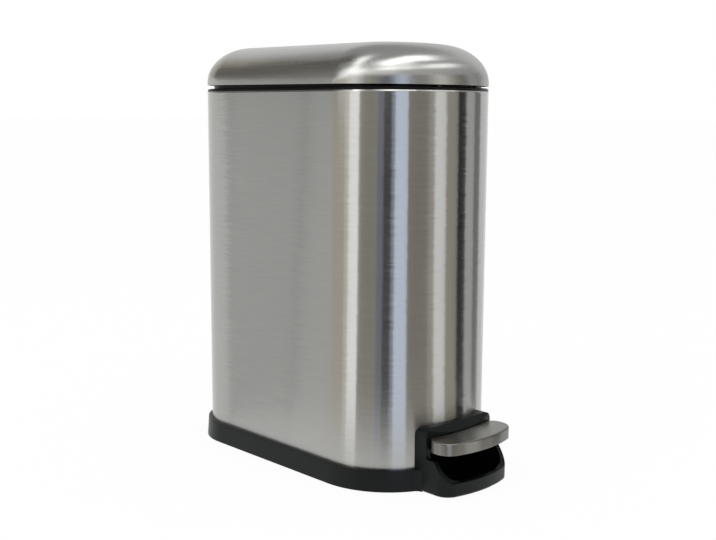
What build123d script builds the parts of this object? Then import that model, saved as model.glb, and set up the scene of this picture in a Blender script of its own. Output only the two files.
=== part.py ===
from build123d import *
import os
from math import acos, atan2, cos, degrees, pi, radians, sin, sqrt

# A slim step can with a soft-close lid. X is across, Y runs from the treadle at the front (-Y)
# to the hinge at the back (+Y), Z is up, and the feet stand on Z = 0. Millimetres.

# Outline of the can in plan
BODY_W = 169.0
BODY_DEPTH = 287.0
BACK_CORNER_R = 49.0
FRONT_CORNER_R = 70.0
NOSE_R = 102.0

# Outer shell
RIM_Z = 350.0
SHELL_T = 0.8
SHELL_FOOT_Z = 5.8

# Base moulding
FOOT_STAND = 0.8
BAND_TOP_Z = 19.7
BAND_OUT_FOOT = 5.1
BAND_OUT_TOP = 3.8
TOE_SCREW_SKIN = 1.0
BASE_WALL = 2.0
BASE_UPSTAND_Z = 30.0
BASE_LEDGE_W = 12.0
SHELL_FIT = 0.1

# Pedal scoop, moulded on the base
SCOOP_HALF = 43.5
SCOOP_WALL = 4.6
SCOOP_REACH = 34.5
SCOOP_NOSE_R = 118.0
SCOOP_CORNER_R = 15.0
SCOOP_BLEND_R = 7.0
SCOOP_FLOOR = 3.6
LIP_TOP_Z = 13.5
LIP_FOOT_R = 2.5
CHEEK_TOP_REACH = 12.9
CHEEK_TOP_Z = 31.5
CHEEK_MID_REACH = 19.3
CHEEK_MID_Z = 23.0
CHEEK_FOOT_REACH = 27.5
HOOD_REACH = 9.8
HOOD_FACE_R = 160.0
HOOD_SOFFIT_Z = 51.2
HOOD_TOP_Z = 58.5
HOOD_SLANT = 6.3
HOOD_CORNER_R = 8.0
POCKET_DEPTH = 31.0
POCKET_WALL = 2.5
LEVER_DOOR_HALF = 11.5

# Rim collar
COLLAR_BEAD = 1.3
COLLAR_INSET = 0.6
COLLAR_SKIRT_DROP = 22.0
COLLAR_SKIRT_T = 2.0
COLLAR_FLANGE_T = 2.8
COLLAR_FLANGE_W = 13.0
UPSTAND_INSET = 6.5
UPSTAND_T = 2.0
UPSTAND_TOP = 8.0
UPSTAND_NOTCH_HALF = 34.0
YOKE_ROOM = 0.8
DECK_DEPTH = 36.0
DECK_CORNER_R = 24.0
BEAD_R = 0.6
BUMPER_R = 2.2
BUMPER_INSET = 3.2
BUMPER_SQUASH = 0.3
BUMPER_X = 24.0

# Inner bucket
BUCKET_SIDE_GAP = 0.8
BUCKET_FLANGE_W = 4.6
BUCKET_FLANGE_T = 1.8
BUCKET_SEAT_GAP = 0.2
BUCKET_T = 1.6
BUCKET_TAPER = 6.0
BUCKET_FLOOR_Z = 56.0
BUCKET_FOOT_R = 5.0
GRIP_W = 62.0
GRIP_H = 15.0
GRIP_DROP = 14.0

# Lid
LID_GAP_FRONT = 4.6
LID_GAP_BACK = 6.4
LID_WALL_H = 2.5
SHOULDER_W = 46.0
SHOULDER_H = 34.5
LID_T = 0.8
HEM_W = 1.8
HEM_T = 1.0
LINER_FIT = 0.3
LINER_T = 1.8
LINER_PANEL = 22.0
LINER_RIB_H = 4.0
LINER_RIB_T = 1.6
LINER_RIBS = 3
LINER_RIB_PITCH = 60.0
LINER_RIB_INSET = 18.0
BOSS_R = 4.0
BOSS_HOLE_DEPTH = 9.0

# Hinge
HINGE_OUT = 4.0
HINGE_UP = 3.0
PIN_R = 2.0
PIN_FIT = 0.05
KNUCKLE_R = 3.4
PIN_HEAD_R = 3.0
PIN_HEAD_T = 1.3
EAR_X0 = 10.0
EAR_X1 = 20.0
EAR_GAP = 0.4
BRACKET_HALF = 31.0
BRACKET_T = 1.5
BRACKET_DROP = 44.0
BRACKET_TOP_DROP = 4.0
BRACKET_STEP = 5.0
BRACKET_ARM_T = 2.0
BRACKET_CORNER_R = 5.0
BRACKET_RIVET_ROWS = (6.0, 17.0)
COVER_HALF = 36.0
COVER_OUT = 10.0
COVER_DROP = 66.0
COVER_TOP_DROP = 2.5
COVER_R = 5.0
COVER_T = 1.5
LEAF_T = 2.0
LEAF_LIFT = 1.0
LEAF_DEPTH = 31.0
LEAF_HALF = 30.0
LEAF_CORNER_R = 4.0
LEAF_SCREW_X = 22.0
LEAF_SCREW_ROWS = (13.0, 25.0)
LEAF_SCREW_HEAD_T = 0.7
LEAF_SCREW_GRIP = 8.0
EAR_LAP = 5.0

# Crank and push rod
OPEN_ANGLE = 80.0
CRANK_R = 20.0
CRANK_T = 4.0
CRANK_EYE_R = 5.0
CRANK_FLARE = 2.0
CRANK_PIN_HALF = 7.0
YOKE_HALF = 7.2
YOKE_WALL = 2.6
YOKE_FIT = 0.4
SLOT_FIT = 0.25
YOKE_BASE_H = 9.0
YOKE_EDGE_R = 2.0
ROD_R = 2.5
FOOT_TOP_Z = 32.0
FOOT_ROD_Z = 21.0
FOOT_SLOT = 0.7
FOOT_LEN = 11.0
FOOT_EDGE_R = 2.5
FOOT_SIDE_GAP = 0.5
FOOT_SEAT = 1.0
ROD_FIT = 0.06

# Pedal, lever and their pivot
PEDAL_REACH = 37.0
PEDAL_HALF = 45.0
PEDAL_NECK_HALF = 38.2
PEDAL_NOSE_R = 118.0
PEDAL_TOP_Z = 50.6
PEDAL_EDGE_H = 10.9
PEDAL_SHEET = 1.0
PEDAL_EDGE_R = 1.6
PEDAL_CORNER_R = 14.0
PEDAL_DEPTH = 40.0
PEDAL_EAR_REACH = 15.6
PEDAL_EAR_R = 11.5
PIVOT_INSET = 55.0
PIVOT_Z = 26.0
AXLE_R = 3.0
AXLE_END = 2.0
AXLE_CHAMFER = 0.6
BUSH_WALL = 1.5
BUSH_FLANGE_GAP = 0.3
BUSH_IN = 1.0
CLIP_WALL = 2.0
CLIP_T = 0.8
LEVER_HALF = 9.0
LEVER_T = 2.0
LEVER_REAR_Z = 9.6
LEVER_REAR_H = 9.6
FOOT_PIN_Z = 14.6
LEVER_TIP_INSET = 10.0
LEVER_TIP_H = 7.0
LEVER_END_GAP = 7.0
LEVER_FORK = 17.0
LEVER_RISE_START = 18.0
LEVER_RISE_END = 34.0
LEVER_BELLY = 7.0
LEVER_PIN_END = 1.0
CORE_SKIN = 1.0
CORE_LIFT = 0.8
CELL_ROWS = 2
CELL_W = 10.0
CELL_L = 9.0
CELL_PITCH_X = 12.5
CELL_PITCH_Y = 11.5
CELL_START = 12.5
PEDAL_RIVET_ROWS = (18.0, 32.0)
GATE_GAP = 0.3
PIVOT_EAR_T = 2.0
PIVOT_EAR_GAP = 0.8
PIVOT_FLANGE_HALF = 24.0
PIVOT_FOOT_HALF = 13.0
PIVOT_BOSS_R = 6.0
PIVOT_SCREW_X = 19.0
PIVOT_SCREW_Y = 7.0
PIVOT_SCREW_TAIL = 2.0

# Damper
DAMPER_X = 18.0
DAMPER_R = 6.5
DAMPER_WALL = 1.6
DAMPER_DROP = 200.0
DAMPER_FLOOR = 3.0
DAMPER_H = 82.0
DAMPER_CAP_H = 6.0
DAMPER_CAP_BRIM = 2.0
PISTON_R = 2.0
PISTON_HEAD_H = 6.0
PISTON_START = 8.0
PISTON_HEAD_FIT = 0.1
CLAMP_H = 9.0
CLAMP_WALL = 2.0
CLAMP_INSET = 12.0
CLAMP_R = 5.0
LINK_RISE = 12.0
LINK_HALF = 5.5
LINK_H = 8.0

# Rear channel, guides, plates and fasteners
CHANNEL_HALF = 30.0
CHANNEL_DEPTH = 31.0
CHANNEL_T = 1.5
CHANNEL_R = 4.0
CHANNEL_FOOT_Z = 50.0
GUIDE_HALF = 8.0
GUIDE_H = 9.0
GUIDE_LOW_Z = 104.0
GUIDE_DROP = 58.0
GUIDE_CORNER_R = 3.0
GUIDE_RIVET_GRIP = 4.0
PLATE_T = 2.0
PLATE_RIB_H = 5.0
PLATE_RIB_T = 3.0
PLATE_RIB_X = 34.0
PLATE_RIB_INSET = 30.0
FOOT_PAD_R = 6.0
FOOT_PAD_SUNK = 1.2
SCREW_R = 1.6
SCREW_HEAD_R = 3.2
SCREW_HEAD_H = 1.8
RIVET_R = 2.0
RIVET_HEAD_R = 3.4
RIVET_HEAD_H = 1.1

# Places that follow from the sizes above
BACK_Y = (BODY_DEPTH + PEDAL_REACH - COVER_OUT) / 2
FRONT_Y = BACK_Y - BODY_DEPTH
PLATE_TOP_Z = SHELL_FOOT_Z + PLATE_T
DECK_TOP_Z = RIM_Z + COLLAR_BEAD
HINGE_Y = BACK_Y + HINGE_OUT
HINGE_Z = RIM_Z + HINGE_UP
PIVOT_Y = FRONT_Y + PIVOT_INSET
BRACKET_FOOT_Z = RIM_Z - BRACKET_DROP
BRACKET_TOP_Z = RIM_Z - BRACKET_TOP_DROP
GUIDE_ZS = (GUIDE_LOW_Z, RIM_Z - GUIDE_DROP)
DAMPER_FOOT_Z = RIM_Z - DAMPER_DROP
DAMPER_TOP_Z = DAMPER_FOOT_Z + DAMPER_H
LINK_Z = DAMPER_TOP_Z + LINK_RISE
HALF_OPEN = radians(OPEN_ANGLE / 2)
ROD_TRAVEL = 2 * CRANK_R * sin(HALF_OPEN)
CRANK_Y = HINGE_Y - CRANK_R * cos(HALF_OPEN)
CRANK_Z = HINGE_Z - CRANK_R * sin(HALF_OPEN)
ROD_Y = HINGE_Y - CRANK_R * (1 + cos(HALF_OPEN)) / 2
LID_TILT = degrees(atan2(LID_GAP_BACK - LID_GAP_FRONT, BODY_DEPTH))
# The crank pin rises along an arc and the rod evenly, so the pin wanders this much in the yoke
PIN_WANDER = abs(CRANK_R * (sin(HALF_OPEN) - sin(HALF_OPEN / 2)) - ROD_TRAVEL / 4)
YOKE_GAP_Z = CRANK_Z - CRANK_EYE_R - PIN_WANDER - YOKE_FIT
LEAF_Z = DECK_TOP_Z + LEAF_LIFT


def arc(cx, cy, r, a0, a1):
    """Arc about a centre, between two angles in radians."""
    def at(a):
        return (cx + r * cos(a), cy + r * sin(a))
    return ThreePointArc(at(a0), at((a0 + a1) / 2), at(a1))


def nose(half, front, nose_r, corner_r):
    """A bowed front with round corners, run from the right side to the left."""
    nose_cy = front + nose_r
    cx = half - corner_r
    cy = nose_cy - sqrt((nose_r - corner_r) ** 2 - cx ** 2)
    join = atan2(cy - nose_cy, cx)
    edges = [
        arc(cx, cy, corner_r, 0, join),
        arc(0, nose_cy, nose_r, join, -pi - join),
        arc(-cx, cy, corner_r, -pi - join, -pi),
    ]
    return edges, cy


def outline(grow=0.0, back_gap=0.0, corner_r=None):
    """The can's plan moved out by grow. A back_gap pulls the back wall in, with its own corner."""
    half = BODY_W / 2 + grow
    back = BACK_Y - back_gap if back_gap else BACK_Y + grow
    rb = corner_r if corner_r else BACK_CORNER_R + grow
    front, cy = nose(half, FRONT_Y - grow, NOSE_R + grow, FRONT_CORNER_R + grow)
    edges = [
        Line((-(half - rb), back), (half - rb, back)),
        arc(half - rb, back - rb, rb, pi / 2, 0),
        Line((half, back - rb), (half, cy)),
        *front,
        Line((-half, cy), (-half, back - rb)),
        arc(-(half - rb), back - rb, rb, pi, pi / 2),
    ]
    return make_face(edges)


def prism(face, z0, z1):
    """A flat face stood up between two heights."""
    return extrude(Pos(0, 0, z0) * face, amount=z1 - z0, dir=(0, 0, 1))


def ring(grow_out, grow_in, z0, z1):
    """A wall that follows the can's outline."""
    return prism(outline(grow_out), z0, z1) - prism(outline(grow_in), z0 - 1, z1 + 1)


def block(x0, x1, y0, y1, z0, z1):
    return Pos((x0 + x1) / 2, (y0 + y1) / 2, (z0 + z1) / 2) * Box(x1 - x0, y1 - y0, z1 - z0)


def rod_x(r, x0, x1, y, z):
    return Pos((x0 + x1) / 2, y, z) * Rot(0, 90, 0) * Cylinder(r, x1 - x0)


def rod_y(r, y0, y1, x, z):
    return Pos(x, (y0 + y1) / 2, z) * Rot(90, 0, 0) * Cylinder(r, y1 - y0)


def rod_z(r, z0, z1, x, y):
    return Pos(x, y, (z0 + z1) / 2) * Cylinder(r, z1 - z0)


def side_prism(points, half):
    """A side view, given as (y, z) points, made 2 * half thick about the middle plane."""
    face = Plane.YZ * Polygon(*points, align=None)
    return Pos(-half, 0, 0) * extrude(face, amount=2 * half, dir=(1, 0, 0))


def group(parts):
    return Compound(children=[p for part in parts for p in part.solids()])


# Outer shell

def scoop_opening():
    """Cut-out at the foot of the shell that the scoop's housing passes through."""
    half = SCOOP_HALF - POCKET_WALL + SHELL_FIT
    top = HOOD_SOFFIT_Z + POCKET_WALL + SHELL_FIT
    return block(-half, half, FRONT_Y - SHELL_T, FRONT_Y + POCKET_DEPTH, 0, top)


def bracket_rivets_at():
    return [(x, BRACKET_FOOT_Z + up) for x in (-LEAF_SCREW_X, LEAF_SCREW_X) for up in BRACKET_RIVET_ROWS]


def outer_shell():
    wall = ring(0, -SHELL_T, SHELL_FOOT_Z, RIM_Z) - scoop_opening()
    for x, z in bracket_rivets_at():
        wall -= rod_y(RIVET_R, BACK_Y - 2 * SHELL_T, BACK_Y + SHELL_T, x, z)
    for z in GUIDE_ZS:
        wall -= rod_y(RIVET_R, BACK_Y - 2 * SHELL_T, BACK_Y + SHELL_T, 0, z)
    return wall


# Base moulding with the pedal scoop

def scoop_plan(grow=0.0):
    """Plan of the scoop, from inside the can to the bowed lip."""
    half = SCOOP_HALF + grow
    back = FRONT_Y + POCKET_DEPTH + grow
    front = FRONT_Y - SCOOP_REACH - grow
    edges, cy = nose(half, front, SCOOP_NOSE_R + grow, SCOOP_CORNER_R + grow)
    return make_face(edges + [*Polyline((-half, cy), (-half, back), (half, back), (half, cy)).edges()])


def scoop_air():
    """The space in front of the hood and above the curved cheeks and the lip."""
    far = FRONT_Y - 2 * SCOOP_REACH
    hood = FRONT_Y - HOOD_REACH
    brow = hood + HOOD_SLANT
    foot = (FRONT_Y - CHEEK_FOOT_REACH, LIP_TOP_Z)
    crest = (FRONT_Y - CHEEK_TOP_REACH, CHEEK_TOP_Z)
    cheek = ThreePointArc(foot, (FRONT_Y - CHEEK_MID_REACH, CHEEK_MID_Z), crest)
    top = 2 * HOOD_TOP_Z
    rest = Polyline(crest, (hood, CHEEK_TOP_Z), (hood, HOOD_SOFFIT_Z), (brow, HOOD_TOP_Z), (brow, top),
                    (far, top), (far, LIP_TOP_Z), foot)
    face = Plane.YZ * make_face([cheek, *rest.edges()])
    return extrude(face, amount=2 * SCOOP_HALF, dir=(1, 0, 0), both=True)


def hood_face():
    """Trims the hood to a face that curves with the can's nose."""
    hood = FRONT_Y - HOOD_REACH
    keep = Pos(0, hood + HOOD_FACE_R) * Circle(HOOD_FACE_R)
    wide = 2 * SCOOP_HALF
    slab = block(-wide, wide, hood - SCOOP_WALL, hood + POCKET_DEPTH, CHEEK_TOP_Z, 2 * HOOD_TOP_Z)
    return slab - prism(keep, 0, 3 * HOOD_TOP_Z)


def scoop_tower():
    """The scoop's outside: its plan stood up, with rounded shoulders, a curved hood and cheeks."""
    tower = prism(scoop_plan(), FOOT_STAND, HOOD_TOP_Z)
    tower = fillet(tower.edges().group_by(Axis.Z)[0].filter_by(lambda e: e.center().Y < FRONT_Y), LIP_FOOT_R)
    shoulders = tower.edges().group_by(Axis.Z)[-1].filter_by(Axis.Y)
    return fillet(shoulders, HOOD_CORNER_R) - scoop_air() - hood_face()


def base_moulding():
    foot = Pos(0, 0, FOOT_STAND) * outline(BAND_OUT_FOOT)
    band = loft([foot, Pos(0, 0, BAND_TOP_Z) * outline(BAND_OUT_TOP)], ruled=True)
    low = band + prism(scoop_plan(), FOOT_STAND, BAND_TOP_Z + 1)
    bend = [e for e in low.edges() if abs(abs(e.center().X) - SCOOP_HALF) < SHELL_T
            and abs(e.center().Y - FRONT_Y) < SCOOP_BLEND_R and BAND_TOP_Z / 2 < e.bounding_box().size.Z]
    low = fillet(bend, SCOOP_BLEND_R) - prism(scoop_plan(), 0, BAND_TOP_Z + 2)
    low += scoop_tower()
    low -= prism(outline(SHELL_FIT), SHELL_FOOT_Z, HOOD_TOP_Z + 1)
    toe = block(-BODY_W, BODY_W, FRONT_Y - SCOOP_REACH, FRONT_Y + POCKET_DEPTH, 0, SHELL_FOOT_Z + 2)
    low -= prism(outline(-BASE_LEDGE_W), 0, SHELL_FOOT_Z + 1) - toe
    wall_out = -SHELL_T - SHELL_FIT
    low += ring(wall_out, wall_out - BASE_WALL, SHELL_FOOT_Z - 1, BASE_UPSTAND_Z)
    half = SCOOP_HALF - POCKET_WALL
    back = FRONT_Y + POCKET_DEPTH
    pocket_top = HOOD_SOFFIT_Z + POCKET_WALL
    pocket = block(-half, half, FRONT_Y - POCKET_WALL, back, FOOT_STAND, pocket_top)
    low += pocket - scoop_air() - hood_face()
    low -= prism(scoop_plan(-SCOOP_WALL), SCOOP_FLOOR + FOOT_STAND, HOOD_SOFFIT_Z)
    door_y = back - 2 * SCOOP_WALL
    low -= block(-LEVER_DOOR_HALF, LEVER_DOOR_HALF, door_y, back + 1, PIVOT_Z, HOOD_SOFFIT_Z)
    for x, y in foot_pads_at():
        low -= rod_z(FOOT_PAD_R, 0, FOOT_STAND + FOOT_PAD_SUNK, x, y)
    for x, y in plate_screws_at():
        low -= rod_z(SCREW_R, FOOT_STAND + TOE_SCREW_SKIN, SHELL_FOOT_Z + 1, x, y)
    return low


def ledge_point(cx, cy, r, angle):
    """A point on the middle of the base's ledge, at an angle round a corner of the plan."""
    mid = r - (BASE_LEDGE_W + SHELL_T) / 2
    return (cx + mid * cos(radians(angle)), cy + mid * sin(radians(angle)))


def corner_centres():
    cx = BODY_W / 2 - FRONT_CORNER_R
    drop = sqrt((NOSE_R - FRONT_CORNER_R) ** 2 - cx ** 2)
    back = (BODY_W / 2 - BACK_CORNER_R, BACK_Y - BACK_CORNER_R, BACK_CORNER_R)
    front = (cx, FRONT_Y + NOSE_R - drop, FRONT_CORNER_R)
    return back, front


def foot_pads_at():
    back, front = corner_centres()
    places = [ledge_point(*back, 45), ledge_point(*front, -22)]
    return [(side * x, y) for x, y in places for side in (-1, 1)]


def plate_screws_at():
    back, front = corner_centres()
    places = [ledge_point(*back, 72), ledge_point(*back, 12), ledge_point(*front, 0)]
    return [(side * x, y) for x, y in places for side in (-1, 1)]


def base_plate():
    """Floor of the base, dropped in on the ledge, with two ribs along it."""
    wall_in = -SHELL_T - SHELL_FIT - BASE_WALL - SHELL_FIT
    front = FRONT_Y + POCKET_DEPTH + SHELL_FIT
    plate = prism(outline(wall_in), SHELL_FOOT_Z, PLATE_TOP_Z)
    plate -= block(-BODY_W, BODY_W, FRONT_Y - SCOOP_REACH, front, 0, PLATE_TOP_Z + 1)
    for side in (-1, 1):
        x0, x1 = side * PLATE_RIB_X - PLATE_RIB_T / 2, side * PLATE_RIB_X + PLATE_RIB_T / 2
        rear = BACK_Y - PLATE_RIB_INSET
        plate += block(x0, x1, front + PLATE_RIB_INSET / 3, rear, PLATE_TOP_Z, PLATE_TOP_Z + PLATE_RIB_H)
    for x, y in plate_screws_at():
        plate -= rod_z(SCREW_R, SHELL_FOOT_Z - 1, PLATE_TOP_Z + 1, x, y)
    for x, y in pivot_screws_at():
        plate -= rod_z(SCREW_R, SHELL_FOOT_Z - 1, PLATE_TOP_Z + 1, x, y)
    return plate


def foot_pads():
    return group(rod_z(FOOT_PAD_R, 0, FOOT_STAND + FOOT_PAD_SUNK, x, y) for x, y in foot_pads_at())


def screw_down(x, y, z, length):
    """A pan-head screw whose head sits on z and whose shank goes down."""
    head = rod_z(SCREW_HEAD_R, z, z + SCREW_HEAD_H, x, y)
    head = fillet(head.edges().group_by(Axis.Z)[-1], SCREW_HEAD_H * 0.55)
    return head + rod_z(SCREW_R, z - length, z, x, y)


def base_screws():
    length = PLATE_TOP_Z - FOOT_STAND - TOE_SCREW_SKIN - SHELL_FIT
    return group(screw_down(x, y, PLATE_TOP_Z, length) for x, y in plate_screws_at())


# Rim collar and its bumpers

def yoke_reach():
    """Front and back faces of the yoke, round the pin's swing."""
    front = HINGE_Y - CRANK_R - PIN_R - SLOT_FIT - YOKE_WALL
    return front, CRANK_Y + PIN_R + SLOT_FIT + YOKE_WALL


def yoke_passage():
    """The space that the yoke and the crank need through the deck."""
    y0, y1 = yoke_reach()
    half = YOKE_HALF + YOKE_ROOM
    return block(-half, half, y0 - YOKE_ROOM, y1 + YOKE_ROOM, RIM_Z - 2 * CRANK_R, RIM_Z + CRANK_R)


def rim_collar():
    skirt_out = -SHELL_T - SHELL_FIT
    bead = prism(outline(-COLLAR_INSET), RIM_Z, DECK_TOP_Z)
    bead = fillet(bead.edges().group_by(Axis.Z)[-1], BEAD_R)
    collar = bead + prism(outline(skirt_out), DECK_TOP_Z - COLLAR_FLANGE_T, RIM_Z)
    opening = outline(-COLLAR_FLANGE_W, DECK_DEPTH, DECK_CORNER_R)
    collar -= prism(opening, RIM_Z - COLLAR_FLANGE_T, DECK_TOP_Z + 1)
    collar += ring(skirt_out, skirt_out - COLLAR_SKIRT_T, RIM_Z - COLLAR_SKIRT_DROP, RIM_Z - 1)
    upstand = ring(-UPSTAND_INSET, -UPSTAND_INSET - UPSTAND_T, RIM_Z, RIM_Z + UPSTAND_TOP)
    notch = UPSTAND_NOTCH_HALF
    upstand -= block(-notch, notch, BACK_Y - DECK_DEPTH, BACK_Y, RIM_Z - 1, RIM_Z + 2 * UPSTAND_TOP)
    return collar + upstand - yoke_passage()


def bumpers_at():
    nose_cy = FRONT_Y + NOSE_R
    mid = NOSE_R - BUMPER_INSET
    return [(x, nose_cy - sqrt(mid ** 2 - x ** 2)) for x in (-BUMPER_X, BUMPER_X)]


def rim_bumpers():
    top = RIM_Z + LID_GAP_FRONT - BUMPER_SQUASH
    return group(rod_z(BUMPER_R, DECK_TOP_Z, top, x, y) for x, y in bumpers_at())


# Inner bucket

def bucket_section(depth_share, inset=0.0):
    """Plan of the bucket's outside, from the rim (0) to the floor (1), drawn in by inset."""
    lean = BUCKET_TAPER * depth_share + BUCKET_SIDE_GAP + inset
    return outline(-COLLAR_FLANGE_W - lean, DECK_DEPTH + lean, DECK_CORNER_R - BUCKET_SIDE_GAP - inset)


def inner_bucket():
    seat = DECK_TOP_Z + BUCKET_SEAT_GAP
    top = seat + BUCKET_FLANGE_T
    low, high = Pos(0, 0, BUCKET_FLOOR_Z) * bucket_section(1), Pos(0, 0, top) * bucket_section(0)
    outside = loft([low, high], ruled=True)
    outside = fillet(outside.edges().group_by(Axis.Z)[0], BUCKET_FOOT_R)
    inside = loft([
        Pos(0, 0, BUCKET_FLOOR_Z + BUCKET_T) * bucket_section(1, BUCKET_T),
        Pos(0, 0, top + 1) * bucket_section(0, BUCKET_T),
    ], ruled=True)
    inside = fillet(inside.edges().group_by(Axis.Z)[0], BUCKET_FOOT_R - BUCKET_T)
    reach = COLLAR_FLANGE_W - BUCKET_FLANGE_W + BUCKET_SIDE_GAP
    rim = outline(-reach, DECK_DEPTH - BUCKET_FLANGE_W + BUCKET_SIDE_GAP, DECK_CORNER_R + BUCKET_FLANGE_W)
    bucket = outside + prism(rim, seat, top) - inside
    grip_z = seat - GRIP_DROP
    grip_y = (FRONT_Y + BACK_Y) / 2
    grip = SlotOverall(GRIP_W, GRIP_H)
    bar = extrude(Plane.YZ * grip, amount=BODY_W / 2, both=True)
    return bucket - Pos(0, grip_y, grip_z - GRIP_H / 2) * bar


# Lid

def lid_form(inset=0.0, floor=0.0):
    """The lid's domed form, drawn in by inset, with its foot at the height floor over the edge."""
    steps = 7
    faces = [Pos(0, 0, floor) * outline(-inset), Pos(0, 0, LID_WALL_H) * outline(-inset)]
    for i in range(1, steps + 1):
        t = i / steps * pi / 2
        d = inset + (SHOULDER_W - inset) * (1 - cos(t))
        z = LID_WALL_H + (SHOULDER_H - inset) * sin(t)
        faces.append(Pos(0, 0, z) * outline(-d))
    return loft(faces)


def place_lid(part):
    """Stands a lid piece on its edge plane, which rises a little to the back."""
    return Pos(0, FRONT_Y, RIM_Z + LID_GAP_FRONT) * Rot(LID_TILT, 0, 0) * Pos(0, -FRONT_Y, 0) * part


def lid_shell():
    dome = lid_form() - lid_form(LID_T, -1.0)
    hem = ring(0, -HEM_W, 0, HEM_T)
    return place_lid(dome + hem)


def leaf_screws_at():
    return [(x, BACK_Y - inset) for x in (-LEAF_SCREW_X, LEAF_SCREW_X) for inset in LEAF_SCREW_ROWS]


def lid_liner():
    """Inner lid: a skirt under the dome, a flat panel with ribs, and bosses for the hinge leaf."""
    skirt_in = LID_T + LINER_FIT
    foot = HEM_T + LINER_FIT / 3
    high = prism(outline(BAND_OUT_FOOT), LINER_PANEL, 2 * SHOULDER_H)
    ceiling = prism(outline(BAND_OUT_FOOT), LINER_PANEL - LINER_T, 2 * SHOULDER_H)
    liner = (lid_form(skirt_in, foot) - high) - (lid_form(skirt_in + LINER_T, foot - 1) - ceiling)
    half = BODY_W / 2 - LINER_RIB_INSET
    rib_z = LINER_PANEL - LINER_T - LINER_RIB_H
    middle = (FRONT_Y + BACK_Y) / 2 - DECK_DEPTH / 4
    for i in range(LINER_RIBS):
        y = middle + (i - (LINER_RIBS - 1) / 2) * LINER_RIB_PITCH
        y0, y1 = y - LINER_RIB_T / 2, y + LINER_RIB_T / 2
        liner += block(-half, half, y0, y1, rib_z, LINER_PANEL - LINER_T / 2)
    liner = place_lid(liner)
    leaf_top = LEAF_Z + LEAF_T
    for x, y in leaf_screws_at():
        liner += rod_z(BOSS_R, leaf_top, RIM_Z + LID_GAP_BACK + LINER_PANEL - LINER_T / 2, x, y)
        liner -= rod_z(SCREW_R, leaf_top - 1, leaf_top + BOSS_HOLE_DEPTH, x, y)
    return liner


def ear_spans():
    return [(-EAR_X1, -EAR_X0), (EAR_X0, EAR_X1)]


def hinge_leaf():
    """Steel stamping under the liner: a leaf, two rolled ears on the pin, and the crank plate."""
    top = LEAF_Z + LEAF_T
    leaf = block(-LEAF_HALF, LEAF_HALF, BACK_Y - LEAF_DEPTH, BACK_Y - UPSTAND_INSET, LEAF_Z, top)
    leaf = fillet(leaf.edges().filter_by(Axis.Z), LEAF_CORNER_R)
    for x0, x1 in ear_spans():
        leaf += block(x0, x1, BACK_Y - UPSTAND_INSET - EAR_LAP, HINGE_Y, LEAF_Z, top)
        leaf += rod_x(KNUCKLE_R, x0, x1, HINGE_Y, HINGE_Z)
    leaf -= rod_x(PIN_R + PIN_FIT, -LEAF_HALF, LEAF_HALF, HINGE_Y, HINGE_Z)
    half = CRANK_T / 2
    root = LEAF_Z + LEAF_T / 2
    leaf += side_prism([
        (CRANK_Y - CRANK_EYE_R - CRANK_FLARE, root), (CRANK_Y - CRANK_EYE_R, CRANK_Z),
        (CRANK_Y + CRANK_EYE_R, CRANK_Z), (CRANK_Y + CRANK_EYE_R, root),
    ], half)
    leaf += rod_x(CRANK_EYE_R, -half, half, CRANK_Y, CRANK_Z)
    leaf -= rod_x(PIN_R, -CRANK_T, CRANK_T, CRANK_Y, CRANK_Z)
    for x, y in leaf_screws_at():
        leaf -= rod_z(SCREW_R, LEAF_Z - 1, top + 1, x, y)
    return leaf


def leaf_screws():
    """Screws from below through the leaf into the liner's bosses."""
    parts = []
    for x, y in leaf_screws_at():
        head = rod_z(SCREW_HEAD_R, LEAF_Z - LEAF_SCREW_HEAD_T, LEAF_Z, x, y)
        parts.append(head + rod_z(SCREW_R, LEAF_Z, LEAF_Z + LEAF_T + LEAF_SCREW_GRIP, x, y))
    return group(parts)


def crank_pin():
    return rod_x(PIN_R, -CRANK_PIN_HALF, CRANK_PIN_HALF, CRANK_Y, CRANK_Z)


# Hinge on the shell

def fixed_spans():
    return [(-BRACKET_HALF, -EAR_X1 - EAR_GAP), (-EAR_X0 + EAR_GAP, EAR_X0 - EAR_GAP),
            (EAR_X1 + EAR_GAP, BRACKET_HALF)]


def hinge_bracket():
    """Steel plate on the back of the shell, joggled out at its top to three rolled knuckles."""
    plate = block(-BRACKET_HALF, BRACKET_HALF, BACK_Y, BACK_Y + BRACKET_T, BRACKET_FOOT_Z, BRACKET_TOP_Z)
    plate = fillet(plate.edges().filter_by(Axis.Y).group_by(Axis.Z)[0], BRACKET_CORNER_R)
    inner = HINGE_Y - KNUCKLE_R
    outer = inner + BRACKET_ARM_T
    step_z = BRACKET_TOP_Z - BRACKET_STEP
    for x0, x1 in fixed_spans():
        plate += block(x0, x1, inner, outer, step_z, HINGE_Z)
        plate += block(x0, x1, BACK_Y, outer, step_z, BRACKET_TOP_Z)
        plate += rod_x(KNUCKLE_R, x0, x1, HINGE_Y, HINGE_Z)
    plate -= rod_x(PIN_R, -BODY_W, BODY_W, HINGE_Y, HINGE_Z)
    for x, z in bracket_rivets_at():
        plate -= rod_y(RIVET_R, BACK_Y - 1, BACK_Y + BRACKET_T + 1, x, z)
    return plate


def hinge_pin():
    pin = rod_x(PIN_R, -BRACKET_HALF - PIN_HEAD_T, BRACKET_HALF, HINGE_Y, HINGE_Z)
    return pin + rod_x(PIN_HEAD_R, BRACKET_HALF, BRACKET_HALF + PIN_HEAD_T, HINGE_Y, HINGE_Z)


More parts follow.
